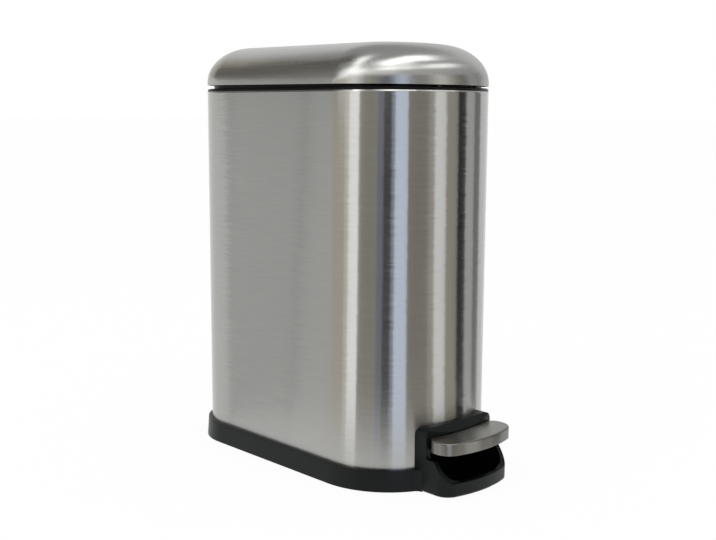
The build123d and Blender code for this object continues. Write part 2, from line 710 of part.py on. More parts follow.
def hinge_cover():
    """Plastic hood over the bracket and its rivets, open to the shell and at the top."""
    foot, top = RIM_Z - COVER_DROP, RIM_Z - COVER_TOP_DROP
    hood = block(-COVER_HALF, COVER_HALF, BACK_Y, BACK_Y + COVER_OUT, foot, top)
    sides = hood.edges().filter_by(Axis.Z).group_by(Axis.Y)[-1]
    lower = hood.edges().filter_by(Axis.X).group_by(Axis.Z)[0].group_by(Axis.Y)[-1]
    hood = fillet(sides + lower, COVER_R)
    half = COVER_HALF - COVER_T
    hollow = block(-half, half, BACK_Y - 1, BACK_Y + COVER_OUT - COVER_T, foot + COVER_T, top + 1)
    return hood - fillet(hollow.edges().filter_by(Axis.Z).group_by(Axis.Y)[-1], COVER_R - COVER_T)


def bracket_rivets():
    inside = BACK_Y - SHELL_T
    outside = BACK_Y + BRACKET_T
    parts = []
    for x, z in bracket_rivets_at():
        rivet = rod_y(RIVET_R, inside, outside, x, z)
        rivet += rod_y(RIVET_HEAD_R, outside, outside + RIVET_HEAD_H, x, z)
        parts.append(rivet + rod_y(RIVET_HEAD_R, inside - RIVET_HEAD_H, inside, x, z))
    return group(parts)


# Push rod, yoke and foot

def rod_yoke():
    """Fork that holds the crank pin in a slot, because the pin swings and the rod doesn't."""
    y0, y1 = yoke_reach()
    high = PIN_R + SLOT_FIT + PIN_WANDER
    yoke = block(-YOKE_HALF, YOKE_HALF, y0, y1, YOKE_GAP_Z - YOKE_BASE_H, CRANK_Z + high + YOKE_WALL)
    yoke = fillet(yoke.edges().filter_by(Axis.X), YOKE_EDGE_R)
    gap = CRANK_T / 2 + YOKE_FIT
    yoke -= block(-gap, gap, y0 - 1, y1 + 1, YOKE_GAP_Z, CRANK_Z + CRANK_R)
    yoke -= block(-BODY_W, BODY_W, y0 + YOKE_WALL, y1 - YOKE_WALL, CRANK_Z - high, CRANK_Z + high)
    return yoke - rod_z(ROD_R, YOKE_GAP_Z - 2 * YOKE_BASE_H, YOKE_GAP_Z - 1, 0, ROD_Y)


def push_rod():
    return rod_z(ROD_R, FOOT_ROD_Z, YOKE_GAP_Z - 1, 0, ROD_Y)


def rod_foot():
    """Foot of the rod, between the lever's side walls, on the lever's rear pin."""
    half = LEVER_HALF - LEVER_T - FOOT_SIDE_GAP
    y0, y1 = ROD_Y - FOOT_LEN / 2, ROD_Y + FOOT_LEN / 2
    foot = block(-half, half, y0, y1, LEVER_REAR_Z - FOOT_SEAT, FOOT_TOP_Z)
    foot = fillet(foot.edges().filter_by(Axis.X), FOOT_EDGE_R)
    high = PIN_R + SLOT_FIT
    ends = (ROD_Y - FOOT_SLOT, ROD_Y + FOOT_SLOT)
    foot -= block(-half - 1, half + 1, *ends, FOOT_PIN_Z - high, FOOT_PIN_Z + high)
    for y in ends:
        foot -= rod_x(high, -half - 1, half + 1, y, FOOT_PIN_Z)
    return foot - rod_z(ROD_R, FOOT_ROD_Z, FOOT_TOP_Z + 1, 0, ROD_Y)


def rod_guides():
    parts = []
    wall = BACK_Y - SHELL_T
    for z in GUIDE_ZS:
        guide = block(-GUIDE_HALF, GUIDE_HALF, ROD_Y - LINK_HALF, wall, z - GUIDE_H / 2, z + GUIDE_H / 2)
        guide = fillet(guide.edges().filter_by(Axis.Z).group_by(Axis.Y)[0], GUIDE_CORNER_R)
        guide -= rod_z(ROD_R + ROD_FIT, z - GUIDE_H, z + GUIDE_H, 0, ROD_Y)
        parts.append(guide - rod_y(RIVET_R, wall - GUIDE_RIVET_GRIP, wall + 1, 0, z))
    return group(parts)


def guide_rivets():
    parts = []
    for z in GUIDE_ZS:
        rivet = rod_y(RIVET_R, BACK_Y - SHELL_T - GUIDE_RIVET_GRIP, BACK_Y, 0, z)
        parts.append(rivet + rod_y(RIVET_HEAD_R, BACK_Y, BACK_Y + RIVET_HEAD_H, 0, z))
    return group(parts)


# Damper

def damper_body():
    body = rod_z(DAMPER_R, DAMPER_FOOT_Z, DAMPER_TOP_Z, DAMPER_X, ROD_Y)
    bore_z = DAMPER_FOOT_Z + DAMPER_FLOOR
    return body - rod_z(DAMPER_R - DAMPER_WALL, bore_z, DAMPER_TOP_Z + 1, DAMPER_X, ROD_Y)


def damper_cap():
    cap = rod_z(DAMPER_R - DAMPER_WALL, DAMPER_TOP_Z - DAMPER_CAP_H, DAMPER_TOP_Z, DAMPER_X, ROD_Y)
    cap += rod_z(DAMPER_R, DAMPER_TOP_Z, DAMPER_TOP_Z + DAMPER_CAP_BRIM, DAMPER_X, ROD_Y)
    return cap - rod_z(PISTON_R + ROD_FIT, DAMPER_FOOT_Z, DAMPER_TOP_Z + DAMPER_CAP_H, DAMPER_X, ROD_Y)


def damper_piston():
    foot = DAMPER_FOOT_Z + PISTON_START
    piston = rod_z(PISTON_R, foot, LINK_Z + LINK_H, DAMPER_X, ROD_Y)
    head_r = DAMPER_R - DAMPER_WALL - PISTON_HEAD_FIT
    return piston + rod_z(head_r, foot, foot + PISTON_HEAD_H, DAMPER_X, ROD_Y)


def damper_clamp():
    """Saddle that holds the damper's body on the shell's back wall."""
    wall = BACK_Y - SHELL_T
    parts = []
    half = DAMPER_R + CLAMP_WALL
    for z in (DAMPER_FOOT_Z + CLAMP_INSET, DAMPER_TOP_Z - CLAMP_INSET - CLAMP_H):
        saddle = block(DAMPER_X - half, DAMPER_X + half, ROD_Y - half, wall, z, z + CLAMP_H)
        saddle = fillet(saddle.edges().filter_by(Axis.Z).group_by(Axis.Y)[0], CLAMP_R)
        parts.append(saddle - rod_z(DAMPER_R, z - 1, z + CLAMP_H + 1, DAMPER_X, ROD_Y))
    return group(parts)


def damper_link():
    y0, y1 = ROD_Y - LINK_HALF, ROD_Y + LINK_HALF
    link = block(-LINK_HALF, DAMPER_X + LINK_HALF, y0, y1, LINK_Z, LINK_Z + LINK_H)
    link = fillet(link.edges().filter_by(Axis.Z), LINK_HALF - PIN_FIT)
    link -= rod_z(ROD_R, LINK_Z - 1, LINK_Z + LINK_H + 1, 0, ROD_Y)
    return link - rod_z(PISTON_R, LINK_Z - 1, LINK_Z + LINK_H + 1, DAMPER_X, ROD_Y)


def rear_channel_cover():
    """Hat-shaped cover between the bucket and the rod, closed to the shell by its two flanks."""
    front = BACK_Y - CHANNEL_DEPTH
    wall = BACK_Y - SHELL_T
    top = DECK_TOP_Z - COLLAR_FLANGE_T
    cover = block(-CHANNEL_HALF, CHANNEL_HALF, front, wall, CHANNEL_FOOT_Z, top)
    cover = fillet(cover.edges().filter_by(Axis.Z).group_by(Axis.Y)[0], CHANNEL_R)
    half = CHANNEL_HALF - CHANNEL_T
    hollow = block(-half, half, front + CHANNEL_T, wall + 1, CHANNEL_FOOT_Z - 1, top + 1)
    cover -= fillet(hollow.edges().filter_by(Axis.Z).group_by(Axis.Y)[0], CHANNEL_R - CHANNEL_T)
    behind_skirt = -SHELL_T - SHELL_FIT - COLLAR_SKIRT_T - SHELL_FIT
    return cover - ring(SHELL_T, behind_skirt, RIM_Z - COLLAR_SKIRT_DROP - SHELL_T, RIM_Z)


# Treadle, lever and pivot

def pedal_plan(inset=0.0):
    """Plan of the treadle: a bowed front, round ends, and a neck that goes in under the hood."""
    front = FRONT_Y - PEDAL_REACH + inset
    wide = PEDAL_HALF - inset
    neck = PEDAL_NECK_HALF - inset
    rear = FRONT_Y - PEDAL_REACH + PEDAL_DEPTH - inset
    ear = FRONT_Y - PEDAL_EAR_REACH
    r = PEDAL_EAR_R - inset
    turn = acos((neck - wide + r) / r)
    edges, cy = nose(wide, front, PEDAL_NOSE_R - inset, PEDAL_CORNER_R - inset)
    shoulder = ear + r * sin(turn)
    run = Polyline((-neck, shoulder), (-neck, rear), (neck, rear), (neck, shoulder))
    edges += [
        Line((-wide, cy), (-wide, ear)), arc(-wide + r, ear, r, pi, pi - turn), *run.edges(),
        arc(wide - r, ear, r, turn, 0), Line((wide, ear), (wide, cy)),
    ]
    return make_face(edges)


def pedal_plate():
    """Steel cap of the treadle: a flat top with a deep edge turned down all round."""
    z0 = PEDAL_TOP_Z - PEDAL_EDGE_H
    skin = prism(pedal_plan(), z0, PEDAL_TOP_Z)
    skin = fillet(skin.edges().group_by(Axis.Z)[-1], PEDAL_EDGE_R)
    under = PEDAL_TOP_Z - PEDAL_SHEET
    skin -= prism(pedal_plan(PEDAL_SHEET), z0 - 1, under)
    gate = LEVER_HALF + GATE_GAP
    rear = FRONT_Y - PEDAL_REACH + PEDAL_DEPTH
    return skin - block(-gate, gate, rear - 2 * PEDAL_SHEET, rear + 1, z0 - 1, under)


def pedal_core():
    """Plastic filling of the treadle, cored out from below, with a groove for the lever."""
    z1 = PEDAL_TOP_Z - PEDAL_SHEET
    z0 = PEDAL_TOP_Z - PEDAL_EDGE_H + CORE_LIFT
    core = prism(pedal_plan(PEDAL_SHEET), z0, z1)
    tip = FRONT_Y - PEDAL_REACH
    roof = z1 - CORE_SKIN
    rear = tip + 2 * PEDAL_DEPTH
    core -= block(-LEVER_HALF, LEVER_HALF, tip + LEVER_TIP_INSET, rear, z0 - 1, roof)
    for side in (-1, 1):
        for column in range(2):
            x = side * (LEVER_HALF + CORE_SKIN + CELL_W / 2 + column * CELL_PITCH_X)
            for row in range(CELL_ROWS):
                y = tip + CELL_START + CELL_L / 2 + row * CELL_PITCH_Y
                core -= Pos(x, y, roof) * Box(CELL_W, CELL_L, 2 * (roof - z0 + 1))
    for x, y in pedal_rivets_at():
        core -= rod_z(RIVET_R, z0 - 1, z1 + 1, x, y)
    return core


def lever_side(drop=0.0):
    """Side view of the lever: low at the back, cranked up over the pivot to the treadle."""
    top = PEDAL_TOP_Z - PEDAL_SHEET - CORE_SKIN - drop
    rear_top = LEVER_REAR_Z + LEVER_REAR_H - drop
    open_below = drop * PIVOT_Z
    tip = FRONT_Y - PEDAL_REACH + LEVER_TIP_INSET
    end = BACK_Y - LEVER_END_GAP
    under_tip = top - LEVER_TIP_H - open_below
    return [
        (end, LEVER_REAR_Z - open_below), (end, rear_top), (PIVOT_Y + LEVER_RISE_END, rear_top),
        (PIVOT_Y - LEVER_RISE_START, top), (tip, top), (tip, under_tip),
        (PIVOT_Y - LEVER_RISE_START - LEVER_T, under_tip),
        (PIVOT_Y + LEVER_T, PIVOT_Z - LEVER_BELLY - open_below),
        (PIVOT_Y + LEVER_RISE_END - LEVER_T, LEVER_REAR_Z - open_below),
    ]


def pedal_lever():
    """Long steel channel, open below, forked at the back round the rod's foot."""
    inside = LEVER_HALF - LEVER_T
    lever = side_prism(lever_side(), LEVER_HALF) - side_prism(lever_side(LEVER_T), inside)
    fork = BACK_Y - LEVER_END_GAP - LEVER_FORK
    lever -= block(-inside, inside, fork, BACK_Y, 0, PIVOT_Z)
    lever -= rod_x(AXLE_R + BUSH_WALL, -BODY_W, BODY_W, PIVOT_Y, PIVOT_Z)
    lever -= rod_x(PIN_R, -BODY_W, BODY_W, ROD_Y, FOOT_PIN_Z)
    for x, y in pedal_rivets_at():
        lever -= rod_z(RIVET_R, PEDAL_TOP_Z - PEDAL_EDGE_H, PEDAL_TOP_Z, x, y)
    return lever


def mirrored_rods(r, x0, x1, y, z):
    """The same short rod on each side of the middle plane."""
    return [rod_x(r, x0, x1, y, z), rod_x(r, -x1, -x0, y, z)]


def lever_bushes():
    x0 = LEVER_HALF - LEVER_T - BUSH_IN
    x1 = LEVER_HALF + PIVOT_EAR_GAP - BUSH_FLANGE_GAP
    bore = rod_x(AXLE_R + PIN_FIT, -BODY_W, BODY_W, PIVOT_Y, PIVOT_Z)
    return group(bush - bore for bush in mirrored_rods(AXLE_R + BUSH_WALL, x0, x1, PIVOT_Y, PIVOT_Z))


def lever_pin():
    half = LEVER_HALF + LEVER_PIN_END
    return rod_x(PIN_R, -half, half, ROD_Y, FOOT_PIN_Z)


def pedal_rivets_at():
    return [(0, FRONT_Y - PEDAL_REACH + inset) for inset in PEDAL_RIVET_ROWS]


def pedal_rivets():
    """Rivets from the treadle's core down through the lever's top."""
    top = PEDAL_TOP_Z - PEDAL_SHEET
    under = top - CORE_SKIN - LEVER_T
    parts = []
    for x, y in pedal_rivets_at():
        head = rod_z(RIVET_HEAD_R, under - RIVET_HEAD_H, under, x, y)
        parts.append(head + rod_z(RIVET_R, under, top, x, y))
    return group(parts)


def pivot_screws_at():
    rows = (PIVOT_Y - PIVOT_SCREW_Y, PIVOT_Y + PIVOT_SCREW_Y)
    return [(x, y) for x in (-PIVOT_SCREW_X, PIVOT_SCREW_X) for y in rows]


def pivot_bracket():
    """Steel cradle on the base plate, one ear each side of the lever."""
    inner = LEVER_HALF + PIVOT_EAR_GAP
    outer = inner + PIVOT_EAR_T
    y0, y1 = PIVOT_Y - PIVOT_FOOT_HALF, PIVOT_Y + PIVOT_FOOT_HALF
    cradle = block(-PIVOT_FLANGE_HALF, PIVOT_FLANGE_HALF, y0, y1, PLATE_TOP_Z, PLATE_TOP_Z + PIVOT_EAR_T)
    cheeks = side_prism([
        (y0, PLATE_TOP_Z), (y1, PLATE_TOP_Z),
        (PIVOT_Y + PIVOT_BOSS_R, PIVOT_Z), (PIVOT_Y - PIVOT_BOSS_R, PIVOT_Z),
    ], outer)
    cheeks += rod_x(PIVOT_BOSS_R, -outer, outer, PIVOT_Y, PIVOT_Z)
    cradle += cheeks - block(-inner, inner, y0 - 1, y1 + 1, PLATE_TOP_Z + PIVOT_EAR_T, 2 * PIVOT_Z)
    cradle -= rod_x(AXLE_R, -BODY_W, BODY_W, PIVOT_Y, PIVOT_Z)
    for x, y in pivot_screws_at():
        cradle -= rod_z(SCREW_R, 0, PIVOT_Z, x, y)
    return cradle


def pivot_axle():
    half = LEVER_HALF + PIVOT_EAR_GAP + PIVOT_EAR_T + AXLE_END
    axle = rod_x(AXLE_R, -half, half, PIVOT_Y, PIVOT_Z)
    ends = axle.edges().group_by(Axis.X)
    return chamfer(ends[0] + ends[-1], AXLE_CHAMFER)


def axle_clips():
    """Spring clips on the axle's ends, just outside the ears."""
    x0 = LEVER_HALF + PIVOT_EAR_GAP + PIVOT_EAR_T
    bore = rod_x(AXLE_R, -BODY_W, BODY_W, PIVOT_Y, PIVOT_Z)
    return group(clip - bore for clip in mirrored_rods(AXLE_R + CLIP_WALL, x0, x0 + CLIP_T, PIVOT_Y, PIVOT_Z))


def pivot_screws():
    length = PIVOT_EAR_T + PLATE_T + PIVOT_SCREW_TAIL
    return group(screw_down(x, y, PLATE_TOP_Z + PIVOT_EAR_T, length) for x, y in pivot_screws_at())


NODES = {
    "outer_shell": outer_shell,
    "base_moulding": base_moulding,
    "base_plate": base_plate,
    "foot_pads": foot_pads,
    "base_screws": base_screws,
    "rim_collar": rim_collar,
    "rim_bumpers": rim_bumpers,
    "inner_bucket": inner_bucket,
    "lid_shell": lid_shell,
    "lid_liner": lid_liner,
    "hinge_leaf": hinge_leaf,
    "leaf_screws": leaf_screws,
    "crank_pin": crank_pin,
    "hinge_bracket": hinge_bracket,
    "hinge_pin": hinge_pin,
    "hinge_cover": hinge_cover,
    "bracket_rivets": bracket_rivets,
    "rod_yoke": rod_yoke,
    "push_rod": push_rod,
    "rod_foot": rod_foot,
    "rod_guides": rod_guides,
    "guide_rivets": guide_rivets,
    "damper_body": damper_body,
    "damper_cap": damper_cap,
    "damper_piston": damper_piston,
    "damper_clamp": damper_clamp,
    "damper_link": damper_link,
    "rear_channel_cover": rear_channel_cover,
    "pedal_plate": pedal_plate,
    "pedal_core": pedal_core,
    "pedal_lever": pedal_lever,
    "lever_bushes": lever_bushes,
    "lever_pin": lever_pin,
    "pedal_rivets": pedal_rivets,
    "pivot_bracket": pivot_bracket,
    "pivot_axle": pivot_axle,
    "axle_clips": axle_clips,
    "pivot_screws": pivot_screws,
}

os.makedirs("parts", exist_ok=True)
for name, make in NODES.items():
    export_step(make(), f"parts/{name}.step")
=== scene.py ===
from math import cos, radians, sin

import bpy
from mathutils import Matrix, Vector
from mathutils.geometry import convex_hull_2d


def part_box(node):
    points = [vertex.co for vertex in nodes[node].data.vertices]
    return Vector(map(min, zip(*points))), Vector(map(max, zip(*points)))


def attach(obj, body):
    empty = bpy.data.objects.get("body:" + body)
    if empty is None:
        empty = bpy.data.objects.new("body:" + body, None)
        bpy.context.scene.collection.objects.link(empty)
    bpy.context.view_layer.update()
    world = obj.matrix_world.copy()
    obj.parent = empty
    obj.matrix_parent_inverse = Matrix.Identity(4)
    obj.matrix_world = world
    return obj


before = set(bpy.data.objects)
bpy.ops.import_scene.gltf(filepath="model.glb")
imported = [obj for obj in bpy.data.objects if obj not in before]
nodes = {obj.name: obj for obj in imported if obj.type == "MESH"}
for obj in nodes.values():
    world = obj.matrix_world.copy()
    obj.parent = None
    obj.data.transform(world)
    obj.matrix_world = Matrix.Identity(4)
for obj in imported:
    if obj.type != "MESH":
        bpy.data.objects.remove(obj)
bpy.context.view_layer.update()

MM = 0.001
RIM_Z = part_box("outer_shell")[1][2]
TREADLE_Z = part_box("pedal_plate")[1][2]


# Colours, nodes and mesh objects

def linear(hex_colour):
    """An sRGB hex value as the linear colour that a shader takes."""
    parts = [int(hex_colour[i:i + 2], 16) / 255 for i in (1, 3, 5)]
    return tuple(c / 12.92 if c <= 0.04045 else ((c + 0.055) / 1.055) ** 2.4 for c in parts) + (1.0,)


def add(tree, kind, inputs=(), **settings):
    """A node with its settings; an input takes a value, or a socket to link from."""
    made = tree.nodes.new(kind)
    for key, value in settings.items():
        setattr(made, key, value)
    for key, value in dict(inputs).items():
        if isinstance(value, bpy.types.NodeSocket):
            tree.links.new(value, made.inputs[key])
        else:
            made.inputs[key].default_value = value
    return made


def new_material(name):
    """An empty material and its node tree."""
    made = bpy.data.materials.new(name)
    made.use_nodes = True
    made.node_tree.nodes.clear()
    return made, made.node_tree


def new_object(name, corners, faces, material):
    """A mesh object in the scene, made of one material."""
    mesh = bpy.data.meshes.new(name)
    mesh.from_pydata(corners, [], faces)
    mesh.materials.append(material)
    made = bpy.data.objects.new(name, mesh)
    bpy.context.scene.collection.objects.link(made)
    return made


# Materials

# A noise texture's values lie mostly between these two
NOISE_LOW, NOISE_HIGH = 0.3, 0.7
# Finger marks on the steel: their width, the noise level where they start, and the roughness they add
SMUDGE_MM, SMUDGE_START, SMUDGE_ROUGHNESS = 90, 0.35, 0.03
# A sheet's rounded edge: the height it takes up, and how much it turns upwards
ROUND_H, ROUND_LEAN = 1.6 * MM, 0.6
# The radius on a moulding's edges, and the depth of its grain
MOULD_RADIUS, GRAIN_DEPTH = 1.2 * MM, 0.05 * MM


def brushed_stainless(name, tints, roughness, groove, smear, pitch_mm, wander, rounded_z=None):
    """Stainless sheet brushed with a fine abrasive belt.

    The belt leaves straight grooves. They spread the sheen at right angles to themselves and keep
    it narrow along them, and each groove tilts the light a little its own way, so the edges of a
    reflection look combed. smear is the direction square to the grooves, groove is how strongly
    they spread the sheen that way, wander is how far each one tilts, and roughness is its range
    from one to the next. pitch_mm is how far the pattern runs along X, Y and Z: the grooves are
    really about 0.15 mm apart, and are drawn wider here so that they show. An edge at the height
    rounded_z is rounded over, and the round turns up towards the lights overhead.
    """
    made, tree = new_material(name)
    place = add(tree, "ShaderNodeTexCoord")
    stretch = add(tree, "ShaderNodeMapping", {
        "Vector": place.outputs["Object"], "Scale": [1 / (run * MM) for run in pitch_mm],
    })
    lines = add(tree, "ShaderNodeTexNoise", {
        "Vector": stretch.outputs["Vector"], "Scale": 1.0, "Detail": 3.0,
    })
    handling = add(tree, "ShaderNodeTexNoise", {
        "Vector": place.outputs["Object"], "Scale": 1 / (SMUDGE_MM * MM), "Detail": 3.0,
    })
    brushing = add(tree, "ShaderNodeMapRange", {
        "Value": lines.outputs["Fac"], "From Min": NOISE_LOW, "From Max": NOISE_HIGH,
        "To Min": roughness[0], "To Max": roughness[1],
    })
    smudges = add(tree, "ShaderNodeMapRange", {
        "Value": handling.outputs["Fac"], "From Min": SMUDGE_START, "From Max": NOISE_HIGH,
        "To Min": 0.0, "To Max": SMUDGE_ROUGHNESS,
    })
    rough = add(tree, "ShaderNodeMath", {
        0: brushing.outputs["Result"], 1: smudges.outputs["Result"],
    }, operation="ADD")
    shade = add(tree, "ShaderNodeMix", {
        "Factor": lines.outputs["Fac"], "A": linear(tints[0]), "B": linear(tints[1]),
    }, data_type="RGBA")
    across = add(tree, "ShaderNodeVectorTransform", {
        "Vector": smear,
    }, convert_from="OBJECT", convert_to="WORLD")
    face = add(tree, "ShaderNodeNewGeometry")
    centred = add(tree, "ShaderNodeVectorMath", {
        0: lines.outputs["Color"], 1: (0.5, 0.5, 0.5),
    }, operation="SUBTRACT")
    tilt = add(tree, "ShaderNodeVectorMath", {
        0: centred.outputs["Vector"], "Scale": wander,
    }, operation="SCALE")
    facing = add(tree, "ShaderNodeVectorMath", {
        0: face.outputs["Normal"], 1: tilt.outputs["Vector"],
    }, operation="ADD")
    if rounded_z is not None:
        height = add(tree, "ShaderNodeSeparateXYZ", {"Vector": place.outputs["Object"]})
        rise = add(tree, "ShaderNodeMapRange", {
            "Value": height.outputs["Z"],
            "From Min": rounded_z - ROUND_H, "From Max": rounded_z - ROUND_H / 2,
            "To Min": 0.0, "To Max": ROUND_LEAN,
        })
        lean = add(tree, "ShaderNodeCombineXYZ", {"Z": rise.outputs["Result"]})
        facing = add(tree, "ShaderNodeVectorMath", {
            0: facing.outputs["Vector"], 1: lean.outputs["Vector"],
        }, operation="ADD")
    normal = add(tree, "ShaderNodeVectorMath", {0: facing.outputs["Vector"]}, operation="NORMALIZE")
    shader = add(tree, "ShaderNodeBsdfPrincipled", {
        "Base Color": shade.outputs["Result"], "Metallic": 1.0, "Roughness": rough.outputs["Value"],
        "Anisotropic": groove, "Tangent": across.outputs["Vector"], "Normal": normal.outputs["Vector"],
    })
    add(tree, "ShaderNodeOutputMaterial", {"Surface": shader.outputs["BSDF"]})
    return made


def moulded_plastic(name, colour, roughness, sheen, grain_mm, depth):
    """Injection moulded polypropylene from a spark eroded tool.

    It has a fine, even grain and a satin sheen, and its edges are softly rounded in the mould. The
    grain is really about 0.1 mm wide, and is drawn wider here so that it shows. roughness is its
    range over the grain, sheen is how much light it mirrors and depth is how much relief shows.
    """
    made, tree = new_material(name)
    place = add(tree, "ShaderNodeTexCoord")
    grain = add(tree, "ShaderNodeTexNoise", {
        "Vector": place.outputs["Object"], "Scale": 1 / (grain_mm * MM), "Detail": 2.0,
    })
    edge = add(tree, "ShaderNodeBevel", {"Radius": MOULD_RADIUS}, samples=4)
    relief = add(tree, "ShaderNodeBump", {
        "Height": grain.outputs["Fac"], "Strength": depth, "Distance": GRAIN_DEPTH,
        "Normal": edge.outputs["Normal"],
    })
    rough = add(tree, "ShaderNodeMapRange", {
        "Value": grain.outputs["Fac"], "From Min": NOISE_LOW, "From Max": NOISE_HIGH,
        "To Min": roughness[0], "To Max": roughness[1],
    })
    shader = add(tree, "ShaderNodeBsdfPrincipled", {
        "Base Color": linear(colour), "Roughness": rough.outputs["Result"],
        "IOR": 1.49, "Specular IOR Level": sheen, "Normal": relief.outputs["Normal"],
    })
    add(tree, "ShaderNodeOutputMaterial", {"Surface": shader.outputs["BSDF"]})
    return made


def plain_steel(name, colour, roughness, mottle_mm):
    """The steel inside the can: a cool grey, slightly cloudy from its plating bath or its grinding."""
    made, tree = new_material(name)
    place = add(tree, "ShaderNodeTexCoord")
    mottle = add(tree, "ShaderNodeTexNoise", {
        "Vector": place.outputs["Object"], "Scale": 1 / (mottle_mm * MM), "Detail": 3.0,
    })
    rough = add(tree, "ShaderNodeMapRange", {
        "Value": mottle.outputs["Fac"], "From Min": NOISE_LOW, "From Max": NOISE_HIGH,
        "To Min": roughness[0], "To Max": roughness[1],
    })
    shader = add(tree, "ShaderNodeBsdfPrincipled", {
        "Base Color": linear(colour), "Metallic": 1.0, "Roughness": rough.outputs["Result"],
    })
    add(tree, "ShaderNodeOutputMaterial", {"Surface": shader.outputs["BSDF"]})
    return made


def smooth_solid(name, colour, roughness, ior):
    """Moulded acetal or rubber: one even colour, with no texture that shows."""
    made, tree = new_material(name)
    shader = add(tree, "ShaderNodeBsdfPrincipled", {
        "Base Color": linear(colour), "Roughness": roughness, "IOR": ior,
    })
    add(tree, "ShaderNodeOutputMaterial", {"Surface": shader.outputs["BSDF"]})
    return made


# The darker and the lighter grooves of the can's sheet, and of the treadle's darker one
STEEL_TINTS = ("#a4a4a1", "#b1b1ae")
TREADLE_TINTS = ("#73726d", "#82817c")

# Wall: brushed level all round, so reflections run down it as long bands
wall_steel = brushed_stainless(
    "brushed_stainless_wall", STEEL_TINTS, roughness=(0.18, 0.22), groove=1.0,
    smear=(0, 0, 1), pitch_mm=(30, 30, 0.8), wander=0.07, rounded_z=RIM_Z,
)
# Lid: drawn, then brushed from front to back, which pulls its highlights out sideways
lid_steel = brushed_stainless(
    "brushed_stainless_lid", STEEL_TINTS, roughness=(0.22, 0.26), groove=0.7,
    smear=(1, 0, 0), pitch_mm=(0.9, 40, 0.9), wander=0.03,
)
# Treadle: brushed from side to side, and darker than the can
treadle_steel = brushed_stainless(
    "brushed_stainless_treadle", TREADLE_TINTS, roughness=(0.22, 0.26), groove=0.9,
    smear=(0, 0.6, 0.8), pitch_mm=(25, 0.7, 0.7), wander=0.03, rounded_z=TREADLE_Z,
)
# Foot band, base plate, covers, the treadle's filling and the damper's mouldings: a satin black
black_polypropylene = moulded_plastic(
    "black_polypropylene", "#070c0d", roughness=(0.32, 0.4), sheen=0.2, grain_mm=0.5, depth=0.25,
)
# Collar, its bead and the lid's liner: the same black from a smoother tool, made deeper in tone as
# painted shade for the dark gap under the lid
rim_polypropylene_painted_shade = moulded_plastic(
    "black_polypropylene_rim_painted_shade", "#07080a", roughness=(0.26, 0.34), sheen=0.1, grain_mm=0.5, depth=0.1,
)
# Bucket: an even mid grey with a soft sheen
grey_polypropylene = moulded_plastic(
    "grey_polypropylene", "#6a6d6f", roughness=(0.41, 0.49), sheen=0.3, grain_mm=0.6, depth=0.2,
)
# Pressings, push rod, the damper's cylinder and the fasteners: zinc plated, a satin grey
zinc_steel = plain_steel("zinc_plated_steel", "#a9adb0", roughness=(0.32, 0.46), mottle_mm=9)
# Pins, the axle and the damper's rod: ground, and brighter than the plated parts
ground_steel = plain_steel("ground_steel_pin", "#c4c4c2", roughness=(0.12, 0.26), mottle_mm=20)
# Guides, bushes and the push rod's ends: moulded acetal in its natural off-white
white_acetal = smooth_solid("natural_acetal", "#e4e2da", roughness=0.35, ior=1.48)
# Feet and lid bumpers: matt moulded rubber
black_rubber = smooth_solid("black_rubber", "#17181a", roughness=0.7, ior=1.52)

FINISHES = {
    wall_steel: ["outer_shell"],
    lid_steel: ["lid_shell"],
    treadle_steel: ["pedal_plate"],
    # The collar and liner take the deeper black, which is painted shade for the gap under the lid
    rim_polypropylene_painted_shade: ["rim_collar", "lid_liner"],
    black_polypropylene: ["base_moulding", "base_plate", "hinge_cover", "pedal_core",
                          "rear_channel_cover", "damper_cap", "damper_clamp", "damper_link"],
    grey_polypropylene: ["inner_bucket"],
    zinc_steel: ["hinge_leaf", "hinge_bracket", "pedal_lever", "pivot_bracket", "push_rod",
                 "damper_body", "base_screws", "leaf_screws", "pivot_screws", "bracket_rivets",
                 "guide_rivets", "pedal_rivets", "axle_clips"],
    ground_steel: ["damper_piston", "hinge_pin", "crank_pin", "pivot_axle", "lever_pin"],
    white_acetal: ["rod_guides", "lever_bushes", "rod_yoke", "rod_foot"],
    black_rubber: ["foot_pads", "rim_bumpers"],
}
for finish, names in FINISHES.items():
    for name in names:
        for slot in nodes[name].material_slots:
            slot.material = finish


# Rim bead

# Inset from the shell's face and rise above its top edge, in mm
BEAD_PROFILE = [
    (1.0, 0.1), (0.3, 0.2), (0.1, 1.0), (0.25, 1.8), (0.8, 2.5),
    (1.7, 2.8), (2.6, 2.5), (3.1, 1.6), (3.2, 1.0),
]
# A corner of the shell's mesh this near to the rim's height is on its top edge
EDGE_TOLERANCE = 0.1 * MM


def rim_bead():
    """The collar's rounded bead, which stands on the shell's top edge just under the lid."""
    rim = [v.co for v in nodes["outer_shell"].data.vertices if v.co.z > RIM_Z - EDGE_TOLERANCE]
    outline = [Vector(rim[i][:2]) for i in convex_hull_2d([point[:2] for point in rim])]
    corners = []
    for here, before, after in zip(outline, outline[-1:] + outline[:-1], outline[1:] + outline[:1]):
        along = (after - here).normalized() + (here - before).normalized()
        inward = Vector((-along.y, along.x)).normalized()
        corners += [(*(here + inward * inset * MM), RIM_Z + rise * MM) for inset, rise in BEAD_PROFILE]
    steps, sides = len(outline), len(BEAD_PROFILE)
    faces = []
    for step in range(steps):
        this_ring, next_ring = step * sides, (step + 1) % steps * sides
        for side in range(sides):
            beside = (side + 1) % sides
            faces.append((this_ring + side, next_ring + side, next_ring + beside, this_ring + beside))
    made = new_object("rim_bead", corners, faces, rim_polypropylene_painted_shade)
    made.data.shade_smooth()
    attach(made, "can")


rim_bead()


# Studio

WHITE, WARM, COOL = "#ffffff", "#fff8ea", "#dfe9ff"
# The flats stand round this point on the can's middle line, near the centre of its rounded nose
RING_Y = -0.03
# Their distances from it, and their heights
LOW_FOOT, LOW_RING, HIGH_RING = 0.25, 0.34, 2.6
PANEL_TOP, BAND_TOP, HIGH_TOP = 0.39, 0.46, 2.4
# Height of the flats that hang overhead
HANG_Z = 2.2

